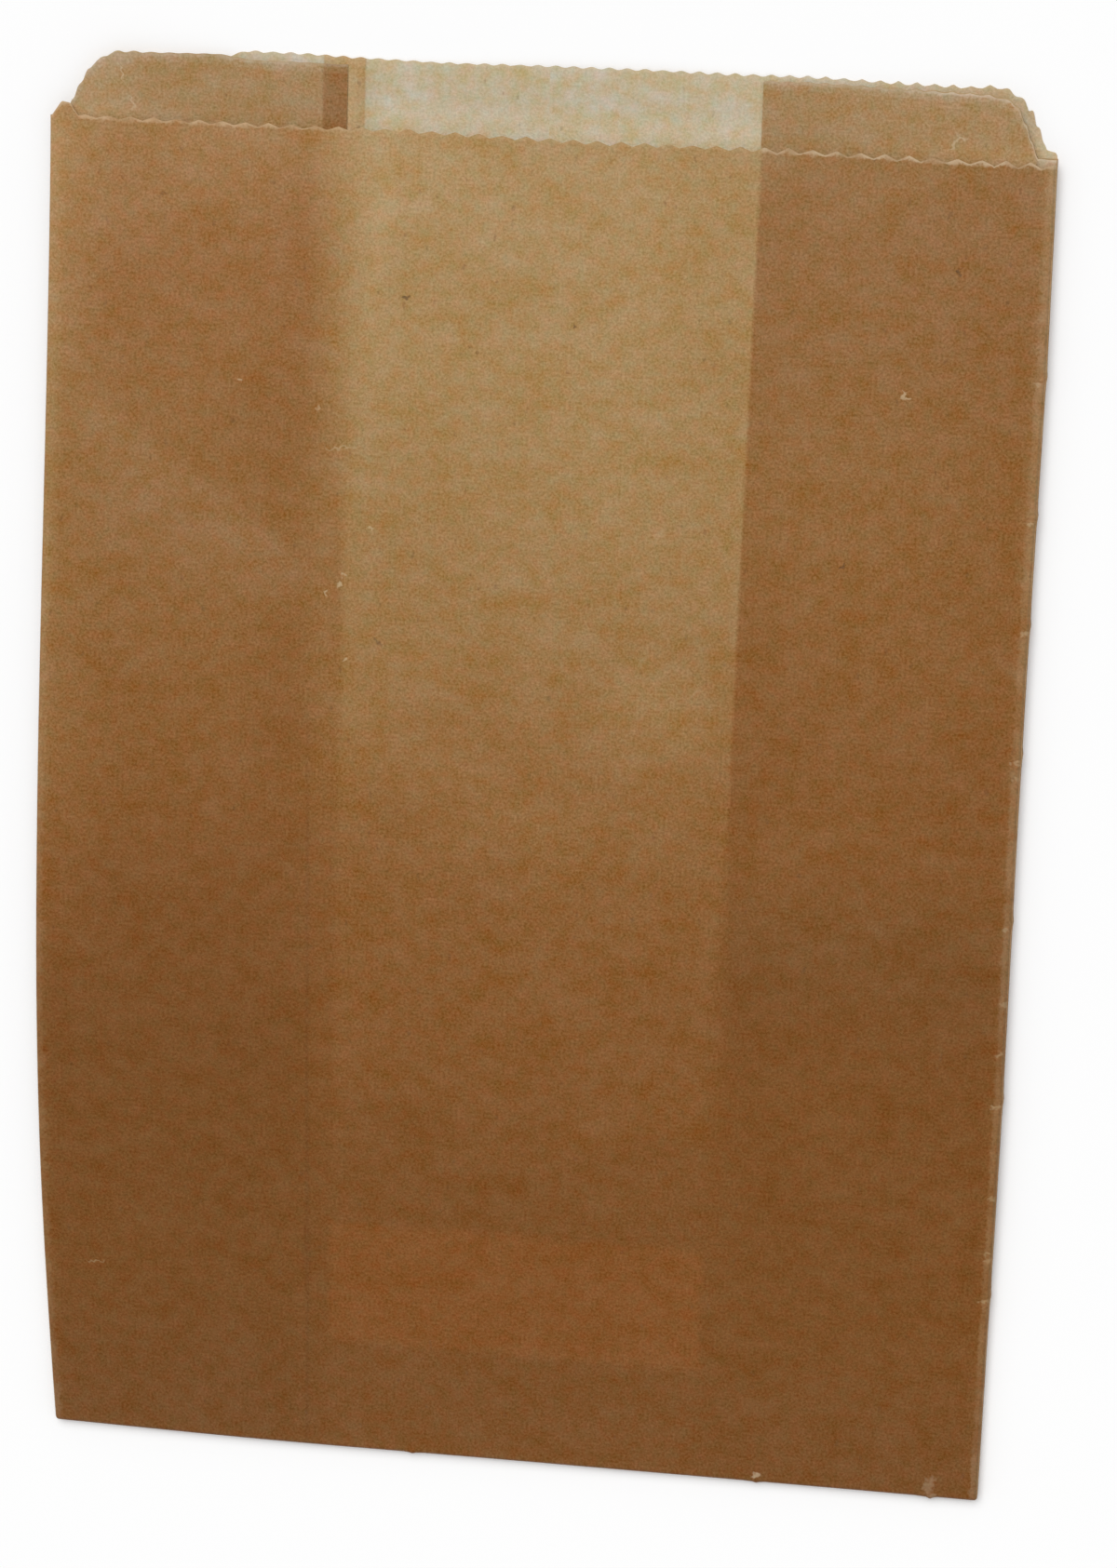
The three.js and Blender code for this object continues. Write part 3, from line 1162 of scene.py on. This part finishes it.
# The grey of the right fold's rim of painted shade.
fold_shade_tone = srgb(116, 106, 82)
speck_tone = srgb(78, 56, 36)
front_tints = (
    (flap_window, (1.14, 1.07, 1.03, 1.0)),
    (seam_line, (0.88, 0.88, 0.90, 1.0)),
    (sheen_patch, (1.00, 1.00, 1.10, 1.0)),
    (bottom_grey, (0.98, 1.00, 1.09, 1.0)),
    (low_sides, (1.02, 1.00, 0.90, 1.0)),
    (below_middle, (0.955, 0.995, 1.03, 1.0)),
    (left_top, (1.02, 0.955, 0.98, 1.0)),
    (right_top, (0.985, 0.98, 1.06, 1.0)),
)


# Lays the tints, the painted sheen among them, the right fold's rim of painted shade and the specks over
# the colour.
def front_marks_light_and_shade(colour):
    fold_shaded = finish.mix(fold_shade_rim, finish.tinted(colour, front_tints), fold_shade_tone)
    return finish.mix(specks, fold_shaded, speck_tone)


front_paper = finish.close(front_plies, pale, front_marks_light_and_shade)

# The inside and the lip
# The inside of the sheet shows where the back and the gussets stand out past the front: one pale ply in
# the middle, three at the sides, and one more where the back's two edges lap over each other in the pasted
# seam.
finish = Finish("inner_paper")
lap_softness = 0.00025
lap = finish.inside(finish.x, seam_far, seam_near, lap_softness)
plies = finish.attribute("plies")
at_gusset = finish.span(plies, 1.2, 1.8)
# Just above the front's edge the lip is painted lighter and warmer: painted light over the shade that falls
# under the front there.
painted_glow_top = finish.between(at_gusset, 0.1340, 0.1305)
painted_glow = finish.product(finish.span(finish.y, painted_glow_top, 0.1268), finish.between(at_gusset, 1.0, 0.5))
near_cut = finish.product(finish.span(finish.attribute("cut_gap"), 0.0040, 0.0), at_gusset)
right_corner_back = finish.product(finish.span(finish.x, 0.066, 0.086), finish.span(plies, 2.5, 1.5))
left_corner_light = finish.span(finish.x, -0.074, -0.088)
lip_changes = (
    (lap, 1.0),
    (painted_glow, -0.2),
    (near_cut, -0.36),
    (right_corner_back, 0.5),
    (left_corner_light, -0.45),
)
lip_plies = finish.changed(plies, lip_changes)
tooth_width = finish.between(finish.attribute("tooth"), 0.0006, 0.0010)
cut_line = finish.worn(finish.attribute("cut_gap"), tooth_width)
right_gusset_lip = finish.product(finish.span(finish.x, 0.055, 0.080), at_gusset)
cut_strength = finish.changed(0.25, ((right_gusset_lip, 0.28),))
cracks = finish.cracks(
    (0.0757, 0.1291, 60, 0.0050, 0.0008, 0.32),
    (0.0768, 0.1300, 10, 0.0030, 0.0007, 0.32),
    (-0.0816, 0.1352, 104, 0.0044, 0.0005, 0.35),
    (-0.0797, 0.1298, 116, 0.0042, 0.0005, 0.35),
)
pale = finish.largest(finish.product(cut_line, cut_strength), cracks)
lip_tints = (
    (at_gusset, (1.00, 1.01, 1.13, 1.0)),
    (near_cut, (0.99, 1.05, 1.17, 1.0)),
    (painted_glow, (1.16, 1.14, 1.09, 1.0)),
)


def lip_light(colour):
    return finish.tinted(colour, lip_tints)


inner_paper = finish.close(lip_plies, pale, lip_light)

# The back panel, the gussets' outer faces and the flap
# The same paper, with the gussets showing through as they do on the front. The pasted seam is a darker
# stripe, and the lip is paler, because the front doesn't lie behind it.
finish = Finish("back_paper")
gusset = finish.largest(*gusset_shares(finish, left_softness=0.0012))
past_front = finish.span(finish.y, 0.1262, 0.1272)
lap = finish.inside(finish.x, -0.0434, -0.0355, lap_softness)
back_plies = finish.changed(closed_plies(finish, gusset), ((past_front, -1.0), (lap, 0.6)))
cut_line = finish.worn(finish.attribute("cut_gap"), width=0.0009)
fold_line = finish.worn(finish.attribute("fold_gap"), width=0.0006)
pale = finish.largest(finish.product(cut_line, 0.4), finish.product(fold_line, 0.28))
back_paper = finish.close(back_plies, pale)

for material in (front_paper, inner_paper, back_paper):
    sheet_mesh.materials.append(material)

# The floor
# A plain pale studio floor that the bag lies on. It isn't part of the bag.
floor_reach = 3.0
floor_tone = (0.97, 0.97, 0.97, 1.0)
floor_roughness = 0.9
floor_mesh = bpy.data.meshes.new("floor")
floor_corners = [
    (x * floor_reach, y * floor_reach, 0.0) for x, y in ((-1, -1), (1, -1), (1, 1), (-1, 1))
]
floor_mesh.from_pydata(floor_corners, [], [(0, 1, 2, 3)])
floor = bpy.data.objects.new("floor", floor_mesh)
bpy.context.scene.collection.objects.link(floor)
floor_paint = bpy.data.materials.new("floor_paint")
floor_paint.use_nodes = True
floor_shader = floor_paint.node_tree.nodes["Principled BSDF"]
floor_shader.inputs["Base Color"].default_value = floor_tone
floor_shader.inputs["Roughness"].default_value = floor_roughness
floor_shader.inputs["Specular IOR Level"].default_value = 0.0
floor_mesh.materials.append(floor_paint)

# The light
# A pale room, white to look at, and one very soft lamp on the side of the mouth, so that no shadow falls on
# the lip.
room_level = 0.46
lamp_level = 0.56
lamp_spread = math.radians(50)
lamp_way = Vector((-0.12, 0.65, 0.90)).normalized()
world = bpy.data.worlds.new("room")
world.use_nodes = True
room = Nodes(world.node_tree)
rays = room.add("LightPath", {}).outputs
seen = room.largest(rays["Is Camera Ray"], rays["Is Glossy Ray"], rays["Is Transmission Ray"])
background = world.node_tree.nodes["Background"]
background.inputs["Color"].default_value = (1.0, 1.0, 1.0, 1.0)
room.feed(background.inputs["Strength"], room.span(seen, 0.0, 1.0, room_level, 1.0))
bpy.context.scene.world = world
lamp_light = bpy.data.lights.new("soft_lamp", "SUN")
lamp_light.angle = lamp_spread
lamp_light.energy = lamp_level * math.pi / lamp_way.z
lamp = bpy.data.objects.new("soft_lamp", lamp_light)
lamp.rotation_euler = lamp_way.to_track_quat("Z", "Y").to_euler()
bpy.context.scene.collection.objects.link(lamp)

# The camera
# It looks down on the bag from the mouth's side, at the photograph's viewing angle.
photo_height_pixels = 1685
focal_pixels = 4645
sensor_width = 36.0
camera_target = Vector((0.00568, 0.0016, 0.0))
camera_distance = 0.8407
azimuth = math.radians(27.917)
elevation = math.radians(73.124)
roll = math.radians(210.802)
camera_way = Vector((
    math.cos(elevation) * math.sin(azimuth),
    math.cos(elevation) * math.cos(azimuth),
    math.sin(elevation),
))
level = Vector((0, 0, 1)).cross(camera_way).normalized()
upright = camera_way.cross(level)
right = level * math.cos(roll) + upright * math.sin(roll)
up = upright * math.cos(roll) - level * math.sin(roll)
camera_data = bpy.data.cameras.new("camera")
camera_data.sensor_width = sensor_width
camera_data.lens = focal_pixels * sensor_width / photo_height_pixels
camera = bpy.data.objects.new("camera", camera_data)
camera.matrix_world = Matrix.Translation(camera_target + camera_way * camera_distance) @ (
    Matrix((right, up, camera_way)).transposed().to_4x4()
)
bpy.context.scene.collection.objects.link(camera)
bpy.context.scene.camera = camera
bpy.context.scene.view_settings.view_transform = "Standard"
